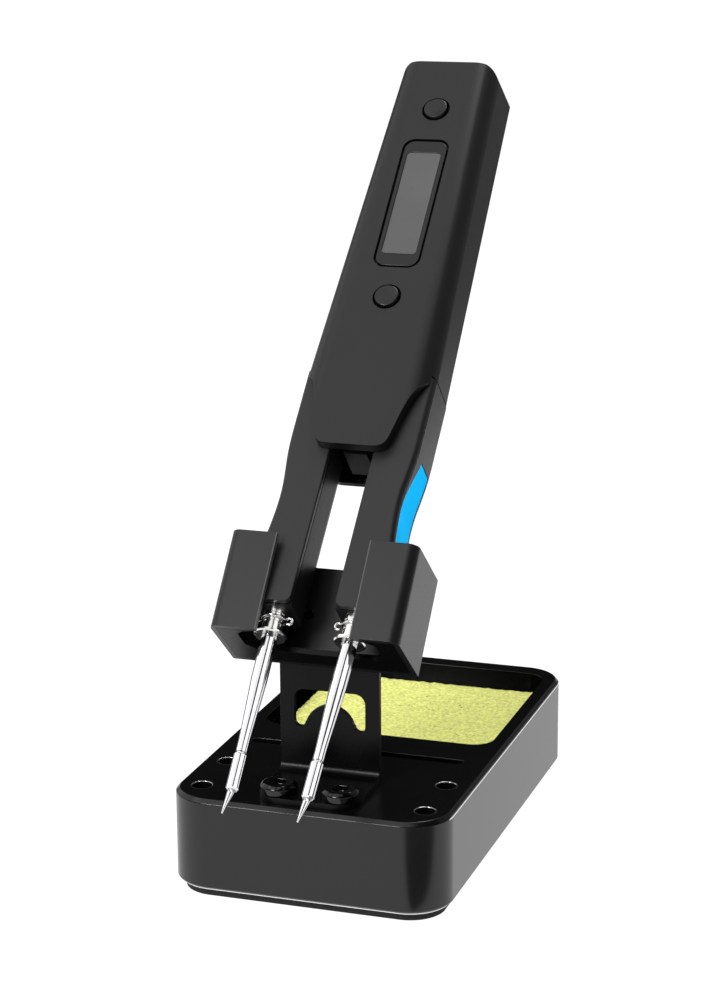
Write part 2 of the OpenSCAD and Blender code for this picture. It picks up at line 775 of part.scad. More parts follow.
module tact_switches() {
    color([0.7, 0.7, 0.7]) tool() key_places() translate([0, 0, board_top]) {
        linear_extrude(switch_h) rounded_rect(switch_w, switch_w, 0.5);
        cylinder(d = plunger_d, h = switch_h + plunger_h);
    }
}

module power_socket() {
    color([0.75, 0.75, 0.77]) tool() translate([0, tail_at, port_z]) {
        along_y(-socket_port_l, socket_port_l - 0.2) difference() {
            rounded_rect(socket_port_w + 2 * port_wall, socket_port_h + 2 * port_wall, port_r);
            rounded_rect(socket_port_w, socket_port_h, port_r - port_wall);
        }
        along_y(-socket_port_l, 1)
            rounded_rect(socket_port_w + 2 * port_wall, socket_port_h + 2 * port_wall, port_r);
        along_y(-socket_port_l, socket_port_l - 1.2) square([socket_port_w - 2.2, 0.7], center = true);
    }
}

// One key: cap, inner flange and stem down to its switch
module key(at) {
    stem_low = board_top + switch_h + plunger_h + key_travel + 0.1;
    flange_top = front_z - shell_wall - 0.1;
    cap_top = front_z + key_out;
    color([0.17, 0.17, 0.17]) tool() translate([0, at, 0]) rotate_extrude() polygon([[0, stem_low],
        [plunger_d / 2, stem_low], [plunger_d / 2, flange_top - key_flange_t],
        [key_d / 2 + key_rim, flange_top - key_flange_t], [key_d / 2 + key_rim, flange_top],
        [key_d / 2, flange_top], [key_d / 2, cap_top - 0.4], [key_d / 2 - 0.4, cap_top], [0, cap_top]]);
}

module upper_button() {
    key(upper_key_at);
}

module lower_button() {
    key(lower_key_at);
}

module arm_pins() {
    color([0.75, 0.75, 0.76]) tool() for (sx = [-1, 1])
        translate([sx * pivot_half, pivot_at, -back_split + 1])
        cylinder(d = pin_d, h = back_split - 1 + front_z - shell_wall);
}

module spring_block() {
    color([0.09, 0.09, 0.09]) tool() difference() {
        translate([0, 0, block_low_z]) linear_extrude(block_top_z - block_low_z)
            polygon([[-block_half, block_at], [block_half, block_at], [block_wide, split_at - 4],
                [block_wide, block_high], [-block_wide, block_high], [-block_wide, split_at - 4]]);
        for (sx = [-1, 1]) translate([sx * block_spring_x(), spring_at, spring_z]) rotate([0, sx * 90, 0])
            cylinder(d = spring_d + 0.4, h = big);
    }
}

// Seat of a return spring in the block, from the middle
function block_spring_x() = block_half - spring_seat + 0.2;

// Seat of a return spring in an arm, from the middle
function arm_spring_x() = arm_inner + spring_seat;

// Coil about +X from x0 to x1
module coil(x0, x1, turns) {
    steps = 14;
    sides = 6;
    r = (spring_d - spring_wire) / 2;
    span = x1 - x0 - spring_wire;
    function ring(k) = let (a = 360 * k / steps, x = x0 + spring_wire / 2 + span * k / (turns * steps))
        [for (j = [0:sides - 1]) let (b = 360 * j / sides, q = r + spring_wire / 2 * cos(b))
            [x + spring_wire / 2 * sin(b), -q * cos(a), q * sin(a)]];
    loft([for (k = [0:turns * steps]) ring(k)]);
}

module return_springs() {
    color([0.8, 0.8, 0.82]) tool() for (m = [0, 1]) mirror([m, 0, 0])
        translate([0, spring_at, spring_z]) coil(block_spring_x() + 0.1, arm_spring_x() - 0.1, 3);
}

module shell_screws() {
    hex_d = 2.2;
    hex_in = 1;
    head_low = -back_split;
    low = head_low + shell_screw_head_h;
    color([0.3, 0.3, 0.31]) tool() shell_screw_places() difference() {
        rotate_extrude() polygon([[0, head_low], [shell_screw_head_d / 2, head_low],
            [shell_screw_head_d / 2, low], [shell_screw_d / 2, low], [shell_screw_d / 2, shell_screw_top],
            [0, shell_screw_top]]);
        translate([0, 0, head_low - hex_in]) cylinder(d = hex_d, h = 2 * hex_in, $fn = 6);
    }
}

// Outer edge of an arm from its lower end to the split, as points in x and y
function arm_edge() = concat(
    curve([[flare_half, arm_end], [flare_half, arm_end + flare_pull],
        [neck_half + neck_slope, neck_at - neck_pull_low], [neck_half, neck_at]], 10),
    curve([[neck_half, neck_at], [neck_half - neck_slope, neck_at + neck_pull_high],
        [split_half, neck_at + shoulder_rise - shoulder_pull], [split_half, neck_at + shoulder_rise]], 8),
    [[split_half, split_at - split_gap]]);

function corner(x, z, r, a0, n) =
    [for (i = [0:n]) let (a = a0 + 90 * i / n) [x + r * cos(a), z + r * sin(a)]];

// Ring of an arm's cross-section at y, between two widths and two heights, with its four corner radii
function arm_ring(x0, x1, y, low, high, r_front_out, r_front_in, r_back_in, r_back_out) = [for (p = concat(
    corner(x1 - r_front_out, high - r_front_out, r_front_out, 0, 4),
    corner(x0 + r_front_in, high - r_front_in, r_front_in, 90, 2),
    corner(x0 + r_back_in, low + r_back_in, r_back_in, 180, 4),
    corner(x1 - r_back_out, low + r_back_out, r_back_out, 270, 4))) [p[0], y, p[1]]];

// Inner edge of the front plate at y, with the round corner of its lower end
function plate_inner(y) = let (d = max(0, plate_corner_r - (y - arm_end)))
    arm_inner + plate_corner_r - sqrt(plate_corner_r * plate_corner_r - d * d);

module arm_front() {
    edge = concat([for (part = [0, 0.07, 0.25, 0.55, 1]) edge_point(arm_end + part * plate_corner_r)],
        [for (p = arm_edge()) if (p[1] > arm_end + plate_corner_r + min_edge) p]);
    color([0.24, 0.24, 0.24]) tool() loft([for (p = edge) arm_ring(plate_inner(p[1]), p[0], p[1],
        plate_low + plate_seam, arm_front, plate_edge_r, plate_inner_r, hair_r, hair_r)]);
}

// Grip outline on an arm's side: front and back edge at y
function grip_front(y) = plate_low - grip_edge
    - grip_drop * pow(max(0, (y - neck_at) / (grip_top - neck_at)), grip_bend);
function grip_back(y) = -arm_back + grip_heel;

// Band on the arm's outer side, as thick as given, grown by grow and standing out by out
module grip_band(thick, grow, out) {
    inner = [for (p = arm_edge()) if (p[1] > grip_low && p[1] < grip_top) p];
    ends = concat([edge_point(grip_low)], inner, [edge_point(grip_top)]);
    last = len(ends) - 1;
    loft([for (i = [0:last]) let (
        p = ends[i],
        y = p[1] + (i == 0 ? -grow : i == last ? grow : 0),
        f = grip_front(p[1]) + grow,
        b = grip_back(p[1]) - grow)
        [[p[0] + out, y, b], [p[0] + out, y, f], [p[0] - thick - grow, y, f], [p[0] - thick - grow, y, b]]]);
}

// Point of the arm's outer edge at a place along it
function edge_point(y) = [lookup(y, [for (p = arm_edge()) [p[1], p[0]]]), y];

// Places its children on the axis of a tip, +Y towards the arm
module tip_axis() {
    translate([tip_half, 0, 0]) rotate([0, 0, -tip_toe]) children();
}

module arm_rear() {
    color([0.2, 0.2, 0.2]) tool() difference() {
        union() {
            loft([for (p = arm_edge()) arm_ring(arm_inner, p[0], p[1], -arm_back, plate_low,
                hair_r, hair_r, arm_inner_r, arm_outer_r)]);
            translate([0, 0, lug_low]) linear_extrude(lug_top - lug_low) {
                translate([pivot_half, pivot_at]) circle(lug_r);
                translate([pivot_half - lug_r + lug_flat, split_at - lug_root])
                    square([2 * lug_r - lug_flat, pivot_at - split_at + lug_root]);
            }
        }
        grip_band(grip_t, 0.1, 3);
        translate([pivot_half, pivot_at, -big / 2]) cylinder(d = pin_d + 2 * pin_gap, h = big);
        tip_axis() rotate([-90, 0, 0])
            cylinder(d = socket_d + 2 * socket_fit, h = arm_end + socket_l + 2 * socket_fit);
        translate([arm_spring_x(), spring_at, spring_z]) rotate([0, -90, 0])
            cylinder(d = spring_d + 2 * spring_gap, h = big);
    }
}

module grip() {
    color([0.06, 0.69, 1]) tool() grip_band(grip_t, 0, 0);
}

module socket() {
    mouth_at = arm_end + 0.2;
    top_at = arm_end + socket_l;
    floor_t = 2.4;
    color([0.85, 0.83, 0.76]) tool() tip_axis() turned([[tip_bore_r, mouth_at], [socket_d / 2, mouth_at],
        [socket_d / 2, top_at], [0, top_at], [0, top_at - floor_t], [tip_bore_r, top_at - floor_t]]);
}

module collar() {
    r = collar_d / 2;
    low = -flange_t / 2;
    color([0.85, 0.86, 0.88]) tool() tip_axis() turned([[tip_bore_r, low], [flange_d / 2 - 0.3, low],
        [flange_d / 2, low + 0.3], [flange_d / 2, low + flange_t - 0.2], [flange_d / 2 - 0.5, low + flange_t],
        [r + 0.35, low + flange_t], [r, low + flange_t + 0.5], [r, 2.6], [r - 0.15, 2.7], [r - 0.15, 3],
        [r, 3.1], [r, 5.2], [r + 0.2, 5.4], [r + 0.2, arm_end], [tip_bore_r, arm_end]]);
}

// Spring clip: open ring round the collar with a curled ear on each side
module clip() {
    wire = 0.35;
    ear_r = 0.8;
    ring_r = collar_d / 2 + wire;
    at = 4.2;
    color([0.8, 0.81, 0.83]) tool() tip_axis() translate([0, at, 0]) {
        rotate([-90, 0, 0]) rotate([0, 0, 120]) rotate_extrude(angle = 300)
            translate([ring_r, 0]) circle(wire, $fn = 24);
        for (sx = [-1, 1]) translate([sx * (ring_r + ear_r + wire * 0.6), 0.2 * sx, 0])
            rotate([0, 0, sx > 0 ? -150 : 30]) rotate_extrude(angle = 270)
                translate([ear_r, 0]) circle(wire, $fn = 24);
    }
}

module tip() {
    point_r = 0.2;
    groove = 0.25;
    round_off = 0.35;
    cone_at = -tip_l + tip_cone_l;
    sleeve_at = cone_at + tip_sleeve_l;
    waist_at = sleeve_at + tip_waist_l;
    neck_r = tip_neck_d / 2;
    sleeve_r = tip_sleeve_d / 2;
    waist_r = tip_waist_d / 2;
    shaft_r = tip_shaft_d / 2;
    color([0.88, 0.88, 0.9]) tool() tip_axis() turned([[0, -tip_l], [point_r, -tip_l],
        [neck_r, cone_at - round_off], [neck_r, cone_at], [sleeve_r - round_off, cone_at],
        [sleeve_r, cone_at + round_off], [sleeve_r, sleeve_at - groove], [sleeve_r - groove, sleeve_at],
        [waist_r - groove, sleeve_at], [waist_r - groove, sleeve_at + 2 * groove],
        [waist_r, sleeve_at + 2 * groove], [waist_r, waist_at], [shaft_r, waist_at + tip_taper_l],
        [shaft_r, tip_inside - 1], [waist_r, tip_inside], [0, tip_inside]]);
}

// Left-hand piece from the right-hand one
module left() {
    mirror([1, 0, 0]) children();
}

base_shell();
base_foot();
sponge();
bracket();
bracket_screws();
holder();
holder_floor();
holder_screws();
front_cover();
rear_shell();
display_window();
display_panel();
main_board();
tact_switches();
power_socket();
upper_button();
lower_button();
arm_pins();
spring_block();
return_springs();
shell_screws();
left() arm_front();  // left_arm_front
arm_front();  // right_arm_front
left() arm_rear();  // left_arm_rear
arm_rear();  // right_arm_rear
left() grip();  // left_grip
grip();  // right_grip
left() socket();  // left_socket
socket();  // right_socket
left() collar();  // left_collar
collar();  // right_collar
left() clip();  // left_clip
clip();  // right_clip
left() tip();  // left_tip
tip();  // right_tip
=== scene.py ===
"""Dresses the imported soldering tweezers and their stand, and sets the picture's camera and light."""

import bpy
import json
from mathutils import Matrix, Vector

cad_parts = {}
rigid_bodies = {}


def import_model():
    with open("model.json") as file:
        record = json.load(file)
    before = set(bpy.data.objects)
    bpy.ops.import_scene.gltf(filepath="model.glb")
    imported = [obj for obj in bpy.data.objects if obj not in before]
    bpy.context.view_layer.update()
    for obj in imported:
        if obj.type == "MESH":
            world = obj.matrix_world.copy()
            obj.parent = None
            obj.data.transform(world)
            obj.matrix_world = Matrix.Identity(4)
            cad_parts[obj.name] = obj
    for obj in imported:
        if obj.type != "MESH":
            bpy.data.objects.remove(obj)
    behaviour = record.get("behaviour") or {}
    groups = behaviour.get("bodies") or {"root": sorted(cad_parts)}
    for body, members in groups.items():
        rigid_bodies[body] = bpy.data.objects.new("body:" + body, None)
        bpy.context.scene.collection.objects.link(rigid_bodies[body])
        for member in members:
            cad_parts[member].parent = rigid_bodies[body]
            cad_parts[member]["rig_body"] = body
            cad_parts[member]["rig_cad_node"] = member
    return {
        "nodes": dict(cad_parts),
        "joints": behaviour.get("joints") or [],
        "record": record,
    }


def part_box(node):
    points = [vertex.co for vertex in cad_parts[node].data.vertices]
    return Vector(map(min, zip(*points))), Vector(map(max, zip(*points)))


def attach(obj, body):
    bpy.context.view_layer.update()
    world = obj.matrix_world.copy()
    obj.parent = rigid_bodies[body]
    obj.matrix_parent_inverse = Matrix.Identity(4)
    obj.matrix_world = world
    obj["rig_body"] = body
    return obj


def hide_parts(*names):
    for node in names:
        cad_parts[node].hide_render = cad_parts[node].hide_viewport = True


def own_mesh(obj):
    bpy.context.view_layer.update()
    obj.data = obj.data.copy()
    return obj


bl_info = {
    "name": "Soldering Tweezers on a Stand",
    "version": (1, 0, 0),
    "blender": (4, 5, 0),
    "location": "View3D > Sidebar > Tweezers",
    "description": "Models and finishes soldering tweezers that lean in a stand with a sponge",
    "category": "Object",
}

import json
import math

import bpy
from bpy.props import FloatProperty, FloatVectorProperty, IntProperty, PointerProperty
from mathutils import Matrix, Vector

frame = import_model()

MM = 0.001
MERGE = 0.002 * MM
FLAT = math.radians(0.05)
SIDES = ("left", "right")
BRIGHT = "Bright metal pieces"
COLOURED = "Coloured pieces"
JOINTS = {joint["name"]: joint for joint in frame["joints"]}

# The tweezers' own frame: x across, y from the tips to the tail, z out of the display side.
HINGE_UP = 80 * MM
ACROSS = Vector((1, 0, 0))
ALONG = Vector(JOINTS["tool_lift"]["axis"]).normalized()
OUT = ACROSS.cross(ALONG)
HINGES = [Vector(JOINTS[side + "_arm_squeeze"]["pos_m"]) for side in SIDES]
TOOL = Matrix.Translation((HINGES[0] + HINGES[1]) / 2 - HINGE_UP * ALONG) @ Matrix(
    (ACROSS, ALONG, OUT)).transposed().to_4x4()


def linear(code):
    """Linear colour of an sRGB hex code."""
    parts = [int(code[at:at + 2], 16) / 255 for at in (1, 3, 5)]
    return [c / 12.92 if c <= 0.04045 else ((c + 0.055) / 1.055) ** 2.4 for c in parts] + [1]


def add(tree, kind, inputs=None, **settings):
    """New shader node with its settings, and its inputs set or linked."""
    node = tree.nodes.new("ShaderNode" + kind)
    for key, value in settings.items():
        setattr(node, key, value)
    for key, value in (inputs or {}).items():
        if isinstance(value, bpy.types.NodeSocket):
            tree.links.new(value, node.inputs[key])
        else:
            node.inputs[key].default_value = value
    return node


def shader(name, **sockets):
    """New material: its tree, its surface and the coordinates of the piece."""
    material = bpy.data.materials.new(name)
    material.use_nodes = True
    tree = material.node_tree
    surface = tree.nodes["Principled BSDF"]
    for key, value in sockets.items():
        surface.inputs[key.replace("_", " ")].default_value = value
    return material, tree, surface, add(tree, "TexCoord").outputs["Object"]


def shaded(colour, part):
    """The colour times a part of its light."""
    return [part * channel for channel in colour[:3]] + [1]


def satin(name, colour, rough, grain, depth, cloud=18, spread=0.08, **sockets):
    """Even finish: clouds a little lighter and darker, and a fine grain in gloss and relief.

    The grain, its depth and the clouds are in mm.
    """
    material, tree, surface, place = shader(name, **sockets)
    clouds = add(tree, "TexNoise", {"Vector": place, "Scale": 1000 / cloud, "Detail": 2})
    tone = add(tree, "Mix", {0: clouds.outputs["Fac"], 6: shaded(colour, 0.8), 7: shaded(colour, 1.2)},
               data_type="RGBA")
    tree.links.new(tone.outputs[2], surface.inputs["Base Color"])
    grains = add(tree, "TexNoise", {"Vector": place, "Scale": 1000 / grain, "Detail": 3})
    gloss = add(tree, "MapRange", {"Value": grains.outputs["Fac"], "From Min": 0.3, "From Max": 0.7,
                                   "To Min": rough - spread, "To Max": rough + spread})
    tree.links.new(gloss.outputs[0], surface.inputs["Roughness"])
    relief = add(tree, "Bump", {"Height": grains.outputs["Fac"], "Strength": 0.5, "Distance": depth * MM})
    tree.links.new(relief.outputs[0], surface.inputs["Normal"])
    return material


def only(*objects):
    """Selects these objects and nothing else, and makes the first one active."""
    if bpy.context.object and bpy.context.object.mode != "OBJECT":
        bpy.ops.object.mode_set(mode="OBJECT")
    bpy.ops.object.select_all(action="DESELECT")
    for item in objects:
        item.select_set(True)
    bpy.context.view_layer.objects.active = objects[0]
    return objects[0]


def pick(piece, wanted, kind="polygons"):
    """Selects the faces, edges or points whose place passes the test, and goes to edit mode."""
    bpy.ops.object.mode_set(mode="EDIT")
    bpy.ops.mesh.select_mode(type={"polygons": "FACE", "edges": "EDGE", "vertices": "VERT"}[kind])
    bpy.ops.mesh.select_all(action="DESELECT")
    bpy.ops.object.mode_set(mode="OBJECT")
    for item in getattr(piece.data, kind):
        item.select = bool(wanted(item))
    bpy.ops.object.mode_set(mode="EDIT")


def modify(piece, kind, **settings):
    """Adds a modifier with its settings and applies it."""
    only(piece)
    bpy.ops.object.modifier_add(type=kind)
    modifier = piece.modifiers[-1]
    for key, value in settings.items():
        setattr(modifier, key, value)
    bpy.ops.object.modifier_apply(modifier=modifier.name)


def smooth(piece, angle=35):
    """Smooth shading, broken where faces meet at more than the angle."""
    only(piece)
    bpy.ops.object.shade_smooth_by_angle(angle=math.radians(angle))


def rounded_edges(piece, radius, segments=2, angle=32):
    """Small round on every edge sharper than the angle, with even shading beside it."""
    modify(piece, "BEVEL", width=radius, segments=segments, limit_method="ANGLE",
           angle_limit=math.radians(angle), use_clamp_overlap=True, miter_outer="MITER_ARC")
    smooth(piece, angle=45)
    modify(piece, "WEIGHTED_NORMAL", keep_sharp=True, weight=100)


def put(piece, place):
    """Places a piece that was modelled at the origin, with the place in its mesh."""
    only(piece)
    piece.matrix_world = place
    bpy.ops.object.transform_apply(location=True, rotation=True, scale=True)


def finish(piece, name, body, material, slot, *nodes):
    """Names a piece, gives it its finish and its body, and hides the nodes it stands for."""
    piece.name = name
    piece.data.name = name
    piece.data.materials.clear()
    piece.data.materials.append(material)
    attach(piece, body)
    if nodes:
        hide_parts(*nodes)
    return piece


def coat(material, *nodes):
    """Gives nodes that keep their shape a better finish."""
    for node in nodes:
        frame["nodes"][node].data.materials.clear()
        frame["nodes"][node].data.materials.append(material)


def lit_group(name, *pieces):
    """The group of pieces that some lights are kept to, with these pieces added."""
    group = bpy.data.collections.get(name) or bpy.data.collections.new(name)
    for piece in pieces:
        group.objects.link(piece)
    return group


def copied(node):
    """A merged copy of a node, its flat sides joined to large faces, ready for more modelling."""
    only(frame["nodes"][node])
    bpy.ops.object.duplicate()
    piece = bpy.context.active_object
    del piece["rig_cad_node"]
    only(piece)
    bpy.ops.mesh.customdata_custom_splitnormals_clear()
    bpy.ops.object.mode_set(mode="EDIT")
    bpy.ops.mesh.select_all(action="SELECT")
    bpy.ops.mesh.remove_doubles(threshold=MERGE)
    bpy.ops.mesh.dissolve_limited(angle_limit=FLAT)
    bpy.ops.object.mode_set(mode="OBJECT")
    return piece


def softened(node, name, radius, material, slot, segments=2, angle=32):
    """A copy of a node with its sharp edges rounded, in the node's place."""
    piece = copied(node)
    rounded_edges(piece, radius, segments, angle)
    return finish(piece, name, frame["nodes"][node]["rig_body"], material, slot, node)


def local_span(node):
    """Lowest and highest corner of a node in the tweezers' own frame."""
    back = TOOL.inverted()
    points = [back @ vertex.co for vertex in frame["nodes"][node].data.vertices]
    return (Vector([min(p[i] for p in points) for i in range(3)]),
            Vector([max(p[i] for p in points) for i in range(3)]))


def turned(profile, steps=64):
    """Piece turned about z from points of radius and height in mm, at the origin."""
    bpy.ops.object.select_all(action="DESELECT")
    bpy.ops.mesh.primitive_plane_add(size=1)
    piece = bpy.context.active_object
    bpy.ops.object.mode_set(mode="EDIT")
    bpy.ops.mesh.select_mode(type="VERT")
    bpy.ops.mesh.select_all(action="SELECT")
    bpy.ops.mesh.merge(type="CENTER")
    radius, height = profile[0]
    bpy.ops.transform.translate(value=(radius * MM, 0, height * MM))
    for next_radius, next_height in profile[1:]:
        bpy.ops.mesh.extrude_vertices_move(TRANSFORM_OT_translate={
            "value": ((next_radius - radius) * MM, 0, (next_height - height) * MM)})
        radius, height = next_radius, next_height
    bpy.ops.mesh.select_all(action="SELECT")
    bpy.ops.mesh.spin(steps=steps, angle=math.tau, center=(0, 0, 0), axis=(0, 0, 1))
    bpy.ops.mesh.select_all(action="SELECT")
    bpy.ops.mesh.remove_doubles(threshold=MERGE)
    bpy.ops.mesh.normals_make_consistent(inside=False)
    bpy.ops.object.mode_set(mode="OBJECT")
    smooth(piece)
    return piece


def rounded_plate(width, length, corner, thick):
    """Flat plate with round corners, its top at z = 0, at the origin, in mm."""
    bpy.ops.object.select_all(action="DESELECT")
    bpy.ops.mesh.primitive_plane_add(size=1)
    piece = bpy.context.active_object
    piece.scale = (width * MM, length * MM, 1)
    bpy.ops.object.transform_apply(location=False, rotation=False, scale=True)
    bpy.ops.object.mode_set(mode="EDIT")
    bpy.ops.mesh.select_mode(type="VERT")
    bpy.ops.mesh.select_all(action="SELECT")
    bpy.ops.mesh.bevel(offset=corner * MM, segments=8, affect="VERTICES")
    bpy.ops.mesh.select_all(action="SELECT")
    bpy.ops.mesh.extrude_region_move(TRANSFORM_OT_translate={"value": (0, 0, -thick * MM)})
    bpy.ops.mesh.select_all(action="SELECT")
    bpy.ops.mesh.normals_make_consistent(inside=False)
    bpy.ops.object.mode_set(mode="OBJECT")
    return piece


class TweezersFinish(bpy.types.PropertyGroup):
    """Colours of the tweezers and the stand."""
    cover: FloatVectorProperty(name="Cover", description="Colour of the moulded handle", subtype="COLOR",
                               size=4, default=linear("#0d0d0e"))
    arms: FloatVectorProperty(name="Arms", description="Colour of the moulded arms", subtype="COLOR",
                              size=4, default=linear("#19191a"))
    grip: FloatVectorProperty(name="Grips", description="Colour of the inlaid finger grips",
                              subtype="COLOR", size=4, default=linear("#00adee"))
    sheet: FloatVectorProperty(name="Sheet", description="Colour of the coated holder and bracket",
                               subtype="COLOR", size=4, default=linear("#1a1a1b"))
    base: FloatVectorProperty(name="Base", description="Colour of the base block", subtype="COLOR",
                              size=4, default=linear("#0b0b0c"))
    sponge: FloatVectorProperty(name="Sponge", description="Colour of the damp sponge", subtype="COLOR",
                                size=4, default=linear("#d8db7e"))
    screen: FloatVectorProperty(name="Screen", description="Colour of the unlit screen", subtype="COLOR",
                                size=4, default=linear("#5a5a5b"))


class TweezersSizes(bpy.types.PropertyGroup):
    """Sizes that the models of the pieces use."""
    edge: FloatProperty(name="Moulded edge", description="Round on the edges of moulded pieces",
                        default=0.35 * MM, min=0.05 * MM, max=0.5 * MM, unit="LENGTH")
    sheet_edge: FloatProperty(name="Sheet edge", description="Round on the edges of bent sheet",
                              default=0.3 * MM, min=0.05 * MM, max=0.5 * MM, unit="LENGTH")
    base_edge: FloatProperty(name="Base edge", description="Round on the edges of the base block",
                             default=0.4 * MM, min=0.1 * MM, max=0.8 * MM, unit="LENGTH")
    bare_edge: FloatProperty(name="Bare edge", description="Height of the bare metal line above the foot",
                             default=0.45 * MM, min=0, max=1 * MM, unit="LENGTH")
    deck_bevel: FloatProperty(name="Deck bevel", description="Height of the bevel round the base's top",
                              default=1 * MM, min=0.5 * MM, max=3 * MM, unit="LENGTH")
    pore: FloatProperty(name="Sponge pore", description="Width of the sponge's larger pores",
                        default=1.6 * MM, min=0.8 * MM, max=4 * MM, unit="LENGTH")
    pit: FloatProperty(name="Pore depth", description="Depth of the sponge's pores",
                       default=0.5 * MM, min=0.1 * MM, max=1 * MM, unit="LENGTH")
    key_dish: FloatProperty(name="Key dish", description="Depth of the dish in each key",
                            default=0.25 * MM, min=0, max=0.5 * MM, unit="LENGTH")
    screen_wide: FloatProperty(name="Screen width", description="Width of the screen in its window",
                               default=9.3 * MM, min=6 * MM, max=10.5 * MM, unit="LENGTH")
    screen_long: FloatProperty(name="Screen length", description="Length of the screen in its window",
                               default=32.2 * MM, min=20 * MM, max=36 * MM, unit="LENGTH")
    tail_slope: FloatProperty(name="Tail slope", description="Slope of the handle's tail end",
                              default=math.radians(10.5), min=0, max=math.radians(12), unit="ROTATION")
    tip_cone: FloatProperty(name="Point root", description="Length of the plain cone below the sleeve",
                            default=5.3 * MM, min=4 * MM, max=8 * MM, unit="LENGTH")
    tip_bend: FloatProperty(name="Point bend", description="Angle of the tips' points to their shafts",
                            default=math.radians(20), min=0, max=math.radians(30), unit="ROTATION")
    tip_stretch: FloatProperty(name="Point length",
                               description="Length of the points to that of the plain cone",
                               default=1.36, min=1, max=1.6)
    turn_steps: IntProperty(name="Steps of turned pieces", description="Faces round each turned piece",
                            default=64, min=24, max=128)


class TWEEZERS_OT_stage(bpy.types.Operator):
    """Sets the floor, the soft lights and the camera"""
    bl_idname = "tweezers.stage"
    bl_label = "Stage"

    def execute(self, context):
        scene = context.scene
        scene.view_settings.view_transform = "Standard"
        # Pale light table: matt white that glows a little, so the ground stays clean under the base.
        floor_finish, tree, surface, place = shader("Matt white light table", Roughness=0.9)
        tone = add(tree, "TexNoise", {"Vector": place, "Scale": 2.0, "Detail": 2})
        pale = add(tree, "Mix", {0: tone.outputs["Fac"], 6: linear("#585858"), 7: linear("#5c5c5c")},
                   data_type="RGBA")
        tree.links.new(pale.outputs[2], surface.inputs["Base Color"])
        surface.inputs["Emission Color"].default_value = linear("#ffffff")
        surface.inputs["Emission Strength"].default_value = 1.0
        # Wide enough, in metres, to keep its far edge out of low views.
        floor_wide = 240
        bpy.ops.object.select_all(action="DESELECT")
        bpy.ops.mesh.primitive_plane_add(size=floor_wide)
        floor = context.active_object
        floor.name = "floor"
        floor.data.materials.append(floor_finish)

        world = bpy.data.worlds.new("Dim studio")
        world.use_nodes = True
        world.node_tree.nodes["Background"].inputs["Color"].default_value = linear("#ffffff")
        world.node_tree.nodes["Background"].inputs["Strength"].default_value = 0.012
        scene.world = world

        # Dim cards, seen only in the shine, take the white ground out of the sides of the handle, the
        # rim of its tongue and the base's front corner.
        velvet, tree, surface, place = shader("Velvet, dark grey", Roughness=1.0, Specular_IOR_Level=0.0)
        surface.inputs["Emission Color"].default_value = linear("#ffffff")
        surface.inputs["Emission Strength"].default_value = 0.19
        pile = add(tree, "TexNoise", {"Vector": place, "Scale": 200, "Detail": 2})
        nap = add(tree, "Mix", {0: pile.outputs["Fac"], 6: linear("#020202"), 7: linear("#060606")},
                  data_type="RGBA")
        tree.links.new(nap.outputs[2], surface.inputs["Base Color"])
        for name, spot, tilt, turn, width, height in (
                ("right_card", (0.072, 0.24, 0.215), 90, 100, 0.52, 0.31),
                ("far_right_card", (0.16, 0.85, 0.2), 90, 90, 0.9, 0.4),
                ("corner_card", (0.075, -0.108, 0.0004), 0, 0, 0.09, 0.084),
                ("front_card", (-0.14, -0.44, 0.0004), 0, 0, 0.36, 0.3)):
            bpy.ops.object.select_all(action="DESELECT")
            bpy.ops.mesh.primitive_plane_add(size=1)
            card = context.active_object
            card.name = name
            card.scale = (width, height, 1)
            card.rotation_euler = (math.radians(tilt), 0, math.radians(turn))
            card.location = spot
            bpy.ops.object.transform_apply(location=True, rotation=True, scale=True)
            card.data.materials.append(velvet)
            card.visible_camera = False

        # Soft area lights; one with a group lights only the pieces of that group.
        for name, spot, aim, size, power, group in (
                ("front_softbox", (-0.45, -0.55, 1.6), (0, 0, 0.12), 1.5, 7.4, None),
                ("back_softbox", (0.3, 0.55, 1.4), (0, 0, 0.05), 0.8, 14.0, None),
                ("left_softbox", (-1.05, 0.15, 0.75), (0, -0.05, 0.1), 1.3, 4.2, None),
                ("edge_strip", (-0.28, -0.72, 0.53), (0, -0.03, 0.08), 0.25, 4.0, None),
                ("left_strip", (-0.9, -0.15, 0.7), (0, -0.07, 0.07), 0.8, 2.5, BRIGHT),
                ("right_strip", (0.95, -0.1, 0.85), (0, -0.05, 0.08), 1.0, 4.0, BRIGHT),
                ("colour_fill", (0.8, -0.6, 0.7), (0, 0, 0.06), 0.5, 12.5, COLOURED)):
            bpy.ops.object.light_add(type="AREA", location=spot)
            light = context.active_object
            light.name = name
            light.data.size = size
            light.data.energy = power
            light.rotation_euler = (Vector(aim) - Vector(spot)).to_track_quat("-Z", "Y").to_euler()
            if group:
                light.light_linking.receiver_collection = lit_group(group)
                light.light_linking.blocker_collection = lit_group(group)

        # The camera as it was solved from the base's box, with its lens in picture heights.
        spot = (0.1948, -0.5928, 0.25064)
        lens = 2.558
        yaw, pitch, roll = (math.radians(angle) for angle in (18.51, 14.75, 0.37))
        ahead = Vector((-math.sin(yaw) * math.cos(pitch), math.cos(yaw) * math.cos(pitch),
                        -math.sin(pitch)))
        level = Vector((math.cos(yaw), math.sin(yaw), 0))
        down = ahead.cross(level)
        across = math.cos(roll) * level + math.sin(roll) * down
        down = math.cos(roll) * down - math.sin(roll) * level
        bpy.ops.object.camera_add()
        camera = context.active_object
        camera.name = "photo_camera"
        camera.data.sensor_width = 36
        camera.data.lens = lens * camera.data.sensor_width
        camera.data.clip_start = 0.05
        camera.data.clip_end = 200
        camera.matrix_world = Matrix.Translation(spot) @ Matrix(
            (across, -down, -ahead)).transposed().to_4x4()
        scene.camera = camera
        return {"FINISHED"}


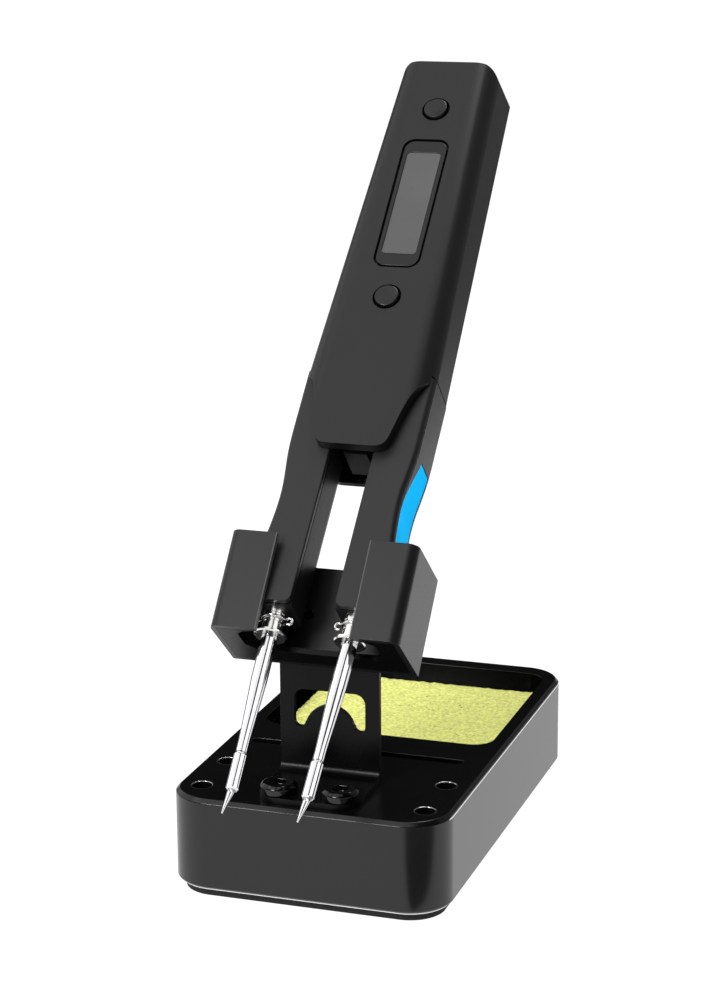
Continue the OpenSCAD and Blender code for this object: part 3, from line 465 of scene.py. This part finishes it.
class TWEEZERS_OT_base(bpy.types.Operator):
    """Makes the base block and its rubber foot"""
    bl_idname = "tweezers.base"
    bl_label = "Base"

    def execute(self, context):
        sizes, colours = context.scene.tweezers_sizes, context.scene.tweezers_finish
        # Die-cast aluminium with a smooth black coat: a soft sheen that brightens at flat angles.
        block = satin("Die-cast aluminium, satin black coat", colours.base, 0.24, 0.35, 0.001, cloud=25,
                      spread=0.03, IOR=1.5)
        # Thin white lines of metal show at its lower edge, along its long upper edges and round the storage
        # holes: partly bare metal at cut edges and partly a painted highlight.
        rim_wide, rim_deep = 0.3, 0.4 * MM
        line_half, side_deep = 0.22 * MM, 0.3 * MM
        foot_edge = 0.3 * MM
        tree = block.node_tree
        surface = tree.nodes["Principled BSDF"]
        coat_tone = surface.inputs["Base Color"].links[0].from_socket
        place = add(tree, "TexCoord").outputs["Object"]
        height = add(tree, "SeparateXYZ", {0: place}).outputs[2]
        flat = add(tree, "VectorMath", {0: place, 1: (1, 1, 0)}, operation="MULTIPLY").outputs[0]
        low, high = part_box("base_shell")
        bare = add(tree, "Math", {0: height, 1: low.z + sizes.bare_edge}, operation="LESS_THAN").outputs[0]
        top = add(tree, "Math", {0: height, 1: high.z - rim_deep}, operation="GREATER_THAN").outputs[0]
        across = add(tree, "SeparateXYZ", {0: place}).outputs[0]
        away = add(tree, "Math", {0: across}, operation="ABSOLUTE").outputs[0]
        # The upper line is a painted highlight: it is kept to the long sides, where the highlight falls.
        highlight_sides = add(tree, "Math", {0: away, 1: high.x - side_deep}, operation="GREATER_THAN").outputs[0]
        line = add(tree, "Math", {0: height, 1: high.z - sizes.deck_bevel, 2: line_half},
                   operation="COMPARE")
        line = add(tree, "Math", {0: line.outputs[0], 1: highlight_sides}, operation="MULTIPLY").outputs[0]
        bare = add(tree, "Math", {0: bare, 1: line}, operation="MAXIMUM").outputs[0]
        for mount in frame["record"]["mounts"]:
            if mount["kind"] == "bore":
                away = add(tree, "VectorMath", {0: flat, 1: mount["pos_m"][:2] + [0]}, operation="DISTANCE")
                radius = (mount["dims"]["r_mm"] + rim_wide) * MM
                rim = add(tree, "Math", {0: away.outputs["Value"], 1: radius},
                          operation="LESS_THAN").outputs[0]
                rim = add(tree, "Math", {0: rim, 1: top}, operation="MULTIPLY").outputs[0]
                bare = add(tree, "Math", {0: bare, 1: rim}, operation="MAXIMUM").outputs[0]
        tone = add(tree, "Mix", {0: bare, 6: coat_tone, 7: linear("#f4f4f4")}, data_type="RGBA")
        tree.links.new(tone.outputs[2], surface.inputs["Base Color"])
        tree.links.new(bare, surface.inputs["Metallic"])
        softened("base_shell", "base_block", sizes.base_edge, block, "base_metal", segments=3)
        # Moulded rubber: dull and quite black.
        rubber = satin("Rubber, moulded", linear("#0a0a0a"), 0.8, 0.5, 0.02, IOR=1.52)
        softened("base_foot", "rubber_foot", foot_edge, rubber, "foot_rubber")
        return {"FINISHED"}


class TWEEZERS_OT_sponge(bpy.types.Operator):
    """Makes the damp sponge with its pores"""
    bl_idname = "tweezers.sponge"
    bl_label = "Sponge"

    def execute(self, context):
        sizes, colours = context.scene.tweezers_sizes, context.scene.tweezers_finish
        low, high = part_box("sponge")
        # Room left for the swell of the faces, the rounds of the block and the fineness of its mesh.
        room = Vector((0.5, 0.5, 0.2)) * MM
        corner, rim = 2.5 * MM, 0.5 * MM
        voxel = 0.45 * MM
        swell_wide, swell = 9 * MM, 0.35 * MM
        upright = 1 * MM
        bpy.ops.object.select_all(action="DESELECT")
        bpy.ops.mesh.primitive_cube_add(size=1, location=(low + high) / 2)
        piece = context.active_object
        piece.scale = high - low - room
        bpy.ops.object.transform_apply(location=True, rotation=True, scale=True)
        pick(piece, lambda edge: abs((piece.data.vertices[edge.vertices[0]].co
                                      - piece.data.vertices[edge.vertices[1]].co).z) > upright, "edges")
        bpy.ops.mesh.bevel(offset=corner, segments=5, affect="EDGES")
        bpy.ops.object.mode_set(mode="OBJECT")
        modify(piece, "BEVEL", width=rim, segments=2, limit_method="ANGLE")
        modify(piece, "REMESH", mode="VOXEL", voxel_size=voxel)
        wave = bpy.data.textures.new("Sponge swell", "CLOUDS")
        wave.noise_scale = swell_wide
        pores = bpy.data.textures.new("Sponge pores", "VORONOI")
        pores.noise_scale = sizes.pore
        pores.noise_intensity = 1
        modify(piece, "DISPLACE", texture=wave, strength=swell, mid_level=0.55)
        modify(piece, "DISPLACE", texture=pores, strength=sizes.pit, mid_level=0.75)
        smooth(piece, 60)

        # Regenerated cellulose: cut foam, dull, with small dark pores and paler walls between them.
        material, tree, surface, place = shader("Cellulose sponge, cut", Roughness=0.9, IOR=1.4)
        cells = add(tree, "TexVoronoi", {"Vector": place, "Scale": 1000 / 1.5, "Randomness": 1})
        holes = add(tree, "MapRange", {"Value": cells.outputs["Distance"], "From Min": 0.16,
                                       "From Max": 0.26, "To Min": 1, "To Max": 0})
        patches = add(tree, "TexNoise", {"Vector": place, "Scale": 1000 / 5, "Detail": 2})
        where = add(tree, "MapRange", {"Value": patches.outputs["Fac"], "From Min": 0.5, "From Max": 0.62})
        dark = add(tree, "Math", {0: holes.outputs[0], 1: where.outputs[0]}, operation="MULTIPLY")
        fine = add(tree, "TexNoise", {"Vector": place, "Scale": 1000 / 0.8, "Detail": 4})
        tone = add(tree, "MapRange", {"Value": fine.outputs["Fac"], "From Min": 0.35, "From Max": 0.65})
        walls = add(tree, "Mix", {0: tone.outputs[0], 6: shaded(colours.sponge, 0.82),
                                  7: shaded(colours.sponge, 1.2)}, data_type="RGBA")
        mixed = add(tree, "Mix", {0: dark.outputs[0], 6: walls.outputs[2], 7: linear("#8c8a2c")},
                    data_type="RGBA")
        tree.links.new(mixed.outputs[2], surface.inputs["Base Color"])
        relief = add(tree, "Bump", {"Height": fine.outputs["Fac"], "Strength": 0.7, "Distance": 0.3 * MM})
        tree.links.new(relief.outputs[0], surface.inputs["Normal"])
        finish(piece, "damp_sponge", "sponge_pad", material, "sponge_cellulose", "sponge")
        lit_group(COLOURED, piece)
        # It stays out of the shine of the black pieces around it.
        piece.visible_glossy = False
        return {"FINISHED"}


class TWEEZERS_OT_sheet(bpy.types.Operator):
    """Makes the bent sheet bracket and holder, and their screws"""
    bl_idname = "tweezers.sheet"
    bl_label = "Bracket and Holder"

    def execute(self, context):
        sizes, colours = context.scene.tweezers_sizes, context.scene.tweezers_finish
        # Powder coat on bent steel: satin black with the faint unevenness of the baked powder.
        # A fine grey line along the lips' cut edges, beside the arms, is a painted highlight.
        lipped = satin("Steel sheet, powder coated", colours.sheet, 0.36, 0.4, 0.003, spread=0.04, IOR=1.5)
        tree = lipped.node_tree
        surface = tree.nodes["Principled BSDF"]
        place = add(tree, "TexCoord").outputs["Object"]
        line_wide, line_deep = 0.28 * MM, 4 * MM
        lip_front = 0.3 * MM
        floor_edge, foot_screw_edge, back_screw_edge = 0.1 * MM, 0.2 * MM, 0.1 * MM
        back = TOOL.inverted()
        points = [back @ vertex.co for vertex in frame["nodes"]["holder"].data.vertices]
        front = max(point.z for point in points)
        edge = min(abs(point.x) for point in points if point.z > front - lip_front)
        across = add(tree, "SeparateXYZ", {0: place}).outputs[0]
        away = add(tree, "Math", {0: across}, operation="ABSOLUTE").outputs[0]
        close = add(tree, "Math", {0: away, 1: edge + line_wide}, operation="LESS_THAN").outputs[0]
        out = add(tree, "VectorMath", {0: place, 1: OUT}, operation="DOT_PRODUCT").outputs["Value"]
        level = TOOL.translation.dot(OUT) + front - line_deep
        ahead = add(tree, "Math", {0: out, 1: level}, operation="GREATER_THAN").outputs[0]
        # Painted highlight: grey on the front part of the lips, close to their cut edges.
        lip_highlight = add(tree, "Math", {0: close, 1: ahead}, operation="MULTIPLY").outputs[0]
        tone = add(tree, "Mix", {0: lip_highlight, 6: surface.inputs["Base Color"].links[0].from_socket,
                                 7: linear("#565656")}, data_type="RGBA")
        tree.links.new(tone.outputs[2], surface.inputs["Base Color"])
        # The bracket and the holder's floor take the sheet colour at three tenths, a painted shade, and a
        # duller shine, so that they fall back in the picture.
        dull = satin("Steel sheet, matt black coat", shaded(colours.sheet, 0.3), 0.3, 0.4, 0.003,
                     spread=0.04, IOR=1.5, Specular_IOR_Level=0.15)
        softened("bracket", "bracket_sheet", sizes.sheet_edge, dull, "sheet_black")
        softened("holder", "holder_sheet", sizes.sheet_edge, lipped, "sheet_black")
        softened("holder_floor", "holder_floor_plate", floor_edge, dull, "sheet_black")
        # Black oxide on steel: dark, a little oily in its shine.
        oxide = satin("Steel, black oxide", linear("#070707"), 0.13, 0.3, 0.001, spread=0.03, IOR=1.5)
        softened("bracket_screws", "bracket_screw_heads", foot_screw_edge, oxide, "screw_black")
        softened("holder_screws", "holder_screw_heads", back_screw_edge, oxide, "screw_black")
        return {"FINISHED"}


class TWEEZERS_OT_handle(bpy.types.Operator):
    """Makes the two moulded shells of the handle"""
    bl_idname = "tweezers.handle"
    bl_label = "Handle"

    def execute(self, context):
        sizes, colours = context.scene.tweezers_sizes, context.scene.tweezers_finish
        # Moulded ABS: fine spark-eroded grain, drawn at 0.35 mm to show, that spreads the shine.
        plastic = satin("ABS, moulded with fine grain", colours.cover, 0.38, 0.35, 0.003, spread=0.04,
                        IOR=1.5)
        # The tail end leans back about a line across the handle. Its corners go with it, and the screw
        # pockets close to it stay where they are.
        end_deep, corner_deep, corner_out = 1.2 * MM, 4.2 * MM, 10.05 * MM
        line_deep, line_high = 2 * MM, 8 * MM
        for node, name in (("front_cover", "cover_shell"), ("rear_shell", "back_shell")):
            piece = copied(node)
            put(piece, TOOL.inverted())
            tail = max(vertex.co.y for vertex in piece.data.vertices)
            pick(piece, lambda point: point.co.y > tail - end_deep
                 or (point.co.y > tail - corner_deep and abs(point.co.x) > corner_out), "vertices")
            bpy.ops.transform.rotate(value=-sizes.tail_slope, orient_axis="X", orient_type="GLOBAL",
                                     center_override=(0, tail - line_deep, line_high))
            bpy.ops.object.mode_set(mode="OBJECT")
            rounded_edges(piece, sizes.edge)
            put(piece, TOOL)
            finish(piece, name, "handle", plastic, "shell_black", node)
        return {"FINISHED"}


class TWEEZERS_OT_display(bpy.types.Operator):
    """Makes the smoked window and the screen under it"""
    bl_idname = "tweezers.display"
    bl_label = "Display"

    def execute(self, context):
        sizes, colours = context.scene.tweezers_sizes, context.scene.tweezers_finish
        low, high = local_span("display_window")
        width, length = (high - low).x / MM, (high - low).y / MM
        middle = (low + high) / 2
        top = TOOL @ Matrix.Translation((0, middle.y, high.z))
        # Smoked acrylic: dark and smooth, with a soft shine.
        smoke = satin("Smoked acrylic, polished", linear("#0b0b0c"), 0.3, 0.6, 0.001, IOR=1.47, spread=0.03)
        wide, long = sizes.screen_wide / MM, sizes.screen_long / MM
        corner, edge, recess = 2.6, 0.15 * MM, 0.3 * MM
        piece = rounded_plate(width, length, corner, (high - low).z / MM)
        pick(piece, lambda face: face.normal.z > 0.9)
        bpy.ops.mesh.inset(thickness=(width - wide) / 2 * MM)
        bpy.ops.transform.resize(value=(1, long / (length - width + wide), 1))
        bpy.ops.mesh.extrude_region_move(TRANSFORM_OT_translate={"value": (0, 0, -recess)})
        bpy.ops.object.mode_set(mode="OBJECT")
        rounded_edges(piece, edge)
        put(piece, top)
        finish(piece, "display_frame", "handle", smoke, "window_smoke", "display_window")

        # Unlit screen: dull grey film, sunk inside a narrow lip.
        film = satin("Screen film, matt", colours.screen, 0.35, 0.5, 0.001, IOR=1.5)
        gap, corner, thick = 0.2, 1.0, 0.5
        lip, slope, drop = 0.25 * MM, 0.3 * MM, 0.16 * MM
        edge, sunk = 0.1 * MM, 0.05 * MM
        screen = rounded_plate(wide - gap, long - gap, corner, thick)
        pick(screen, lambda face: face.normal.z > 0.9)
        bpy.ops.mesh.inset(thickness=lip)
        bpy.ops.mesh.inset(thickness=slope)
        bpy.ops.transform.translate(value=(0, 0, -drop))
        bpy.ops.object.mode_set(mode="OBJECT")
        rounded_edges(screen, edge)
        put(screen, top @ Matrix.Translation((0, 0, -sunk)))
        finish(screen, "display_screen", "handle", film, "panel_grey", "display_panel")
        return {"FINISHED"}


class TWEEZERS_OT_keys(bpy.types.Operator):
    """Makes the two dished keys"""
    bl_idname = "tweezers.keys"
    bl_label = "Keys"

    def execute(self, context):
        sizes = context.scene.tweezers_sizes
        # Moulded key plastic: smooth, a little sharper in its shine than the cover.
        soft = satin("Key plastic, satin", linear("#0b0b0c"), 0.34, 0.3, 0.002, IOR=1.5)
        flange = 1.2
        for name in ("upper", "lower"):
            node = name + "_button"
            low, high = local_span(node)
            rim = (high - low).x / 2 / MM
            tall = (high - low).z / MM
            cap = rim - flange
            dish = sizes.key_dish / MM
            piece = turned([(0, 0), (rim - 0.8, 0), (rim, 0.2), (rim, 0.8), (cap, 0.9), (cap, tall - 0.35),
                            (cap - 0.1, tall - 0.12), (cap - 0.35, tall), (cap - 0.7, tall - 0.05),
                            (cap * 0.55, tall - 0.7 * dish), (0, tall - dish)], sizes.turn_steps)
            put(piece, TOOL @ Matrix.Translation(((low + high) / 2).xy.to_3d() + Vector((0, 0, low.z))))
            finish(piece, name + "_key_cap", name + "_key", soft, "key_black", node)
        return {"FINISHED"}


class TWEEZERS_OT_arms(bpy.types.Operator):
    """Makes the moulded arms and their inlaid grips"""
    bl_idname = "tweezers.arms"
    bl_label = "Arms"

    def execute(self, context):
        sizes, colours = context.scene.tweezers_sizes, context.scene.tweezers_finish
        # Glass-filled nylon: matt, a shade greyer than the cover.
        nylon = satin("Nylon, moulded", colours.arms, 0.4, 0.4, 0.003, spread=0.04, IOR=1.5)
        # The back halves have the same nylon, with the sides that face each other left duller.
        inner = satin("Nylon, moulded, dull inside", colours.arms, 0.4, 0.4, 0.003, spread=0.04, IOR=1.5)
        dull_to, bright_from = 9.5 * MM, 10.5 * MM
        tree = inner.node_tree
        across = add(tree, "SeparateXYZ", {0: add(tree, "TexCoord").outputs["Object"]}).outputs[0]
        far = add(tree, "Math", {0: across}, operation="ABSOLUTE").outputs[0]
        shine = add(tree, "MapRange", {"Value": far, "From Min": dull_to, "From Max": bright_from,
                                       "To Min": 0.12, "To Max": 0.5})
        tree.links.new(shine.outputs[0], tree.nodes["Principled BSDF"].inputs["Specular IOR Level"])
        # Silicone rubber: even bright blue with a soft sheen.
        silicone = satin("Silicone rubber, moulded", colours.grip, 0.7, 0.4, 0.004, IOR=1.4,
                         Specular_IOR_Level=0.06)
        for side in SIDES:
            softened(side + "_arm_front", side + "_arm_plate", sizes.edge, nylon, "shell_black")
            softened(side + "_arm_rear", side + "_arm_back", sizes.edge, inner, "shell_black")
            pad = softened(side + "_grip", side + "_grip_pad", sizes.edge, silicone, "grip_blue")
            lit_group(COLOURED, pad)
        return {"FINISHED"}


class TWEEZERS_OT_tips(bpy.types.Operator):
    """Finishes the chrome tips, collars and clips"""
    bl_idname = "tweezers.tips"
    bl_label = "Tips"

    def execute(self, context):
        # Chrome plate over turned steel: a sharp mirror with faint turning marks.
        chrome, tree, surface, place = shader("Chrome plate on turned steel", Metallic=1.0)
        surface.inputs["Base Color"].default_value = linear("#ececee")
        surface.inputs["Specular Tint"].default_value = linear("#808083")
        marks = add(tree, "TexNoise", {"Vector": place, "Scale": 1000 / 0.5, "Detail": 2})
        gloss = add(tree, "MapRange", {"Value": marks.outputs["Fac"], "To Min": 0.06, "To Max": 0.14})
        tree.links.new(gloss.outputs[0], surface.inputs["Roughness"])
        # Nickel plate: a softer, whiter shine than the chrome, so it stays bright between the lips.
        nickel = satin("Nickel plate on turned steel", linear("#e4e3e0"), 0.2, 0.4, 0.001, spread=0.04,
                       Metallic=1.0)
        sizes = context.scene.tweezers_sizes
        near = 0.2 * MM
        for side in SIDES:
            nodes = [side + "_collar", side + "_clip"]
            coat(nickel, *nodes)
            lit_group(BRIGHT, *[frame["nodes"][node] for node in nodes])
            # The point leans out to the display side from where it leaves the sleeve.
            piece = copied(side + "_tip")
            put(piece, TOOL.inverted())
            low = min(vertex.co.y for vertex in piece.data.vertices)
            root = low + sizes.tip_cone
            neck = [vertex.co for vertex in piece.data.vertices if abs(vertex.co.y - root) < near]
            middle = sum(neck, Vector()) / len(neck)
            pick(piece, lambda point: point.co.y < root - near, "vertices")
            bpy.ops.transform.resize(value=(1, sizes.tip_stretch, 1), center_override=middle)
            bpy.ops.transform.rotate(value=sizes.tip_bend, orient_axis="X", orient_type="GLOBAL",
                                     center_override=middle)
            bpy.ops.object.mode_set(mode="OBJECT")
            smooth(piece, 30)
            put(piece, TOOL)
            finish(piece, side + "_tip_cartridge", side + "_cartridge", chrome, "tip_chrome", side + "_tip")
            lit_group(BRIGHT, piece)
        return {"FINISHED"}


class TWEEZERS_OT_inside(bpy.types.Operator):
    """Finishes the pieces inside the handle and the arms"""
    bl_idname = "tweezers.inside"
    bl_label = "Inner Pieces"

    def execute(self, context):
        # Glass-epoxy board: green solder mask, a little cloudy.
        mask = satin("Glass-epoxy board, solder mask", linear("#14502e"), 0.4, 0.5, 0.01, IOR=1.55)
        coat(mask, "main_board")
        # Nickel-plated steel: plain bright metal, dulled a little.
        steel = satin("Steel, nickel plated", linear("#b9b8b2"), 0.28, 0.4, 0.003, Metallic=1.0)
        coat(steel, "tact_switches", "power_socket", "arm_pins")
        # The return springs sit between their block and the arms.
        coils = copied("return_springs")
        smooth(coils, 60)
        finish(coils, "return_coils", "handle", steel, "inner_steel", "return_springs")
        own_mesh(coils)
        # Steatite: cream fired ceramic, dull.
        steatite = satin("Steatite, fired", linear("#ded8c4"), 0.6, 0.3, 0.01, IOR=1.55)
        coat(steatite, "left_socket", "right_socket")
        # Moulded nylon: dull black, in the block between the arms.
        block = satin("Nylon, moulded block", linear("#1a1a1b"), 0.55, 0.4, 0.012, IOR=1.53)
        coat(block, "spring_block")
        # Black oxide on the screws behind the handle: dark, with a soft shine.
        oxide = satin("Screw steel, black oxide", linear("#161616"), 0.35, 0.3, 0.006, IOR=1.8)
        coat(oxide, "shell_screws")
        return {"FINISHED"}


STEPS = (TWEEZERS_OT_stage, TWEEZERS_OT_base, TWEEZERS_OT_sponge, TWEEZERS_OT_sheet, TWEEZERS_OT_handle,
         TWEEZERS_OT_display, TWEEZERS_OT_keys, TWEEZERS_OT_arms, TWEEZERS_OT_tips, TWEEZERS_OT_inside)


class TWEEZERS_PT_sidebar(bpy.types.Panel):
    """Lists the steps, the sizes and the colours"""
    bl_idname = "TWEEZERS_PT_sidebar"
    bl_label = "Soldering Tweezers"
    bl_space_type = "VIEW_3D"
    bl_region_type = "UI"
    bl_category = "Tweezers"

    def draw(self, context):
        column = self.layout.column()
        for step in STEPS:
            column.operator(step.bl_idname)
        for group in (context.scene.tweezers_sizes, context.scene.tweezers_finish):
            for key in group.__annotations__:
                column.prop(group, key)


CLASSES = (TweezersFinish, TweezersSizes) + STEPS + (TWEEZERS_PT_sidebar,)


def register():
    for item in CLASSES:
        bpy.utils.register_class(item)
    bpy.types.Scene.tweezers_finish = PointerProperty(type=TweezersFinish)
    bpy.types.Scene.tweezers_sizes = PointerProperty(type=TweezersSizes)


def unregister():
    del bpy.types.Scene.tweezers_sizes
    del bpy.types.Scene.tweezers_finish
    for item in reversed(CLASSES):
        bpy.utils.unregister_class(item)


def main():
    """Runs every step in order."""
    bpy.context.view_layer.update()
    register()
    bpy.ops.tweezers.stage()
    bpy.ops.tweezers.base()
    bpy.ops.tweezers.sponge()
    bpy.ops.tweezers.sheet()
    bpy.ops.tweezers.handle()
    bpy.ops.tweezers.display()
    bpy.ops.tweezers.keys()
    bpy.ops.tweezers.arms()
    bpy.ops.tweezers.tips()
    bpy.ops.tweezers.inside()


if __name__ == "__main__":
    main()
